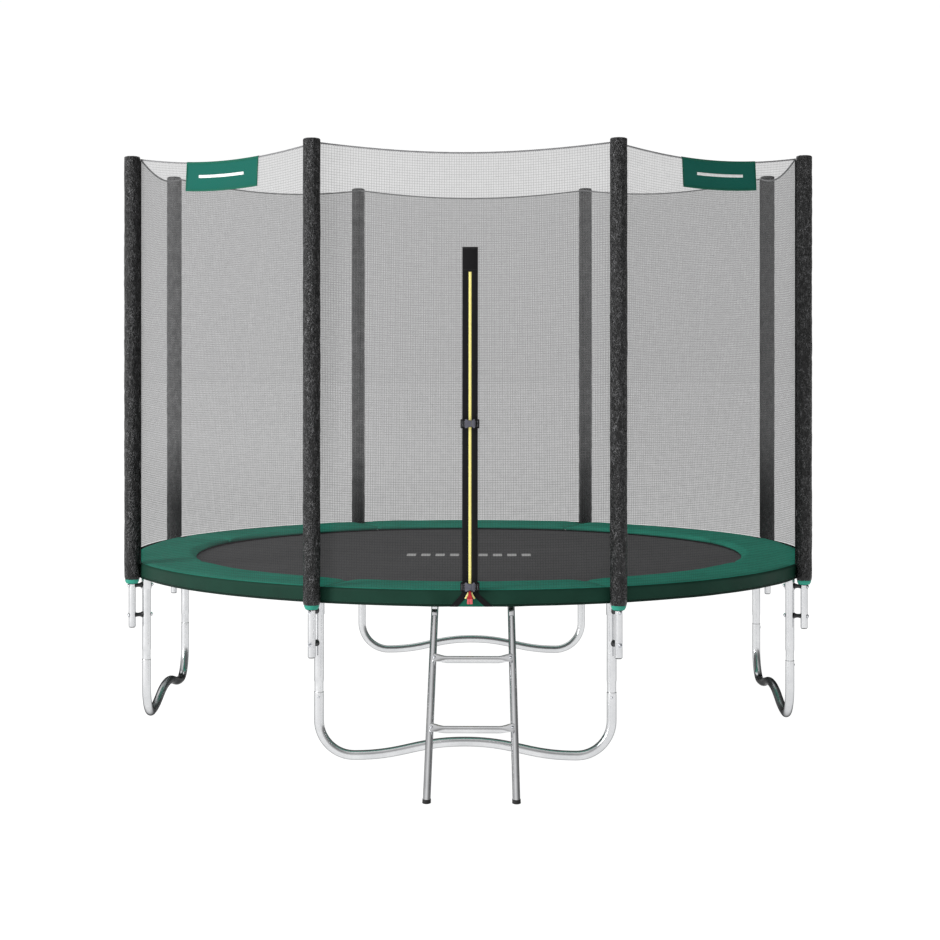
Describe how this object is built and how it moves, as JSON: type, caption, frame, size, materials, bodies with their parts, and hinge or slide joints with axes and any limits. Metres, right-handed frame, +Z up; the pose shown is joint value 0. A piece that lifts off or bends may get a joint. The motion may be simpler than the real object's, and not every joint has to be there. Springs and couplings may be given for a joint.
{
  "type": "trampoline",
  "caption": "Round garden trampoline with an eight-pole safety net, zipped door, green edge pad, four U-shaped legs and a hook-on ladder.",
  "frame": {"origin": "on the floor, under the middle of the bounding box", "axes": "+Z up; -Y is the front, where the net door and the ladder are; +X is to the right seen from the front"},
  "size_m": [3.073, 3.714, 2.452],
  "materials": {
    "galvanised_steel": "bright zinc coating",
    "spring_steel": "zinc-plated wire",
    "black_foam": "crinkled sheet over foam",
    "green_pad": "coated cloth over foam",
    "mat_cloth": "tight woven strip yarn",
    "black_net": "knitted mesh",
    "grey_rope": "twisted",
    "black_webbing": "ribbed webbing",
    "yellow_zip": "moulded zip teeth",
    "zip_metal": "black lacquer",
    "red_pull": "webbing",
    "black_plastic": "moulded satin",
    "green_banner": "printed cloth",
    "black_rubber": "moulded"
  },
  "bodies": {
    "base": {"top_rail_1": "galvanised_steel", "leg_upright_1": "galvanised_steel", "net_pole_1": "galvanised_steel", "foam_sleeve_1": "black_foam", "top_rail_2": "galvanised_steel", "leg_upright_2": "galvanised_steel", "net_pole_2": "galvanised_steel", "foam_sleeve_2": "black_foam", "top_rail_3": "galvanised_steel", "leg_upright_3": "galvanised_steel", "net_pole_3": "galvanised_steel", "foam_sleeve_3": "black_foam", "top_rail_4": "galvanised_steel", "leg_upright_4": "galvanised_steel", "net_pole_4": "galvanised_steel", "foam_sleeve_4": "black_foam", "top_rail_5": "galvanised_steel", "leg_upright_5": "galvanised_steel", "net_pole_5": "galvanised_steel", "foam_sleeve_5": "black_foam", "top_rail_6": "galvanised_steel", "leg_upright_6": "galvanised_steel", "net_pole_6": "galvanised_steel", "foam_sleeve_6": "black_foam", "top_rail_7": "galvanised_steel", "leg_upright_7": "galvanised_steel", "net_pole_7": "galvanised_steel", "foam_sleeve_7": "black_foam", "top_rail_8": "galvanised_steel", "leg_upright_8": "galvanised_steel", "net_pole_8": "galvanised_steel", "foam_sleeve_8": "black_foam", "u_leg_front": "galvanised_steel", "u_leg_right": "galvanised_steel", "u_leg_rear": "galvanised_steel", "u_leg_left": "galvanised_steel", "spring_set": "spring_steel", "safety_pad": "green_pad", "enclosure_net": "black_net", "net_rope": "grey_rope", "door_band": "black_webbing", "zip_chain": "yellow_zip", "upper_buckle_socket": "black_plastic", "lower_buckle_socket": "black_plastic", "door_straps": "black_webbing", "banner_left": "green_banner", "banner_right": "green_banner"},
    "mat": {"jumping_mat": "mat_cloth"},
    "zip_slider": {"zip_slider": "zip_metal"},
    "zip_pull": {"zip_pull": "red_pull"},
    "upper_buckle_plug": {"upper_buckle_plug": "black_plastic"},
    "lower_buckle_plug": {"lower_buckle_plug": "black_plastic"},
    "ladder": {"ladder_stile_left": "galvanised_steel", "ladder_foot_left": "black_rubber", "ladder_stile_right": "galvanised_steel", "ladder_foot_right": "black_rubber", "ladder_rung_upper": "galvanised_steel", "ladder_rung_lower": "galvanised_steel"}
  },
  "joints": [
    {"name": "mat_bounce", "type": "slide", "parent": "base", "child": "mat", "axis": [0, 0, 1], "range_m": [-0.12, 0], "stiffness_N_per_m": 5000, "springref_m": 0.03},
    {"name": "zip_slide", "type": "slide", "parent": "base", "child": "zip_slider", "axis": [0, 0.0685, 0.9976], "range_m": [0, 1.2]},
    {"name": "pull_swing", "type": "hinge", "parent": "zip_slider", "child": "zip_pull", "pos_m": [0.02, -1.2291, 0.68349], "axis": [-1, 0, 0], "range_deg": [0, 62]},
    {"name": "upper_buckle_release", "type": "slide", "parent": "base", "child": "upper_buckle_plug", "axis": [1, 0, 0], "range_m": [0, 0.035]},
    {"name": "lower_buckle_release", "type": "slide", "parent": "base", "child": "lower_buckle_plug", "axis": [1, 0, 0], "range_m": [0, 0.035]},
    {"name": "ladder_swing", "type": "hinge", "parent": "base", "child": "ladder", "pos_m": [0.032, -1.17986, 0.641], "axis": [-1, 0, 0], "range_deg": [0, 14]}
  ]
}
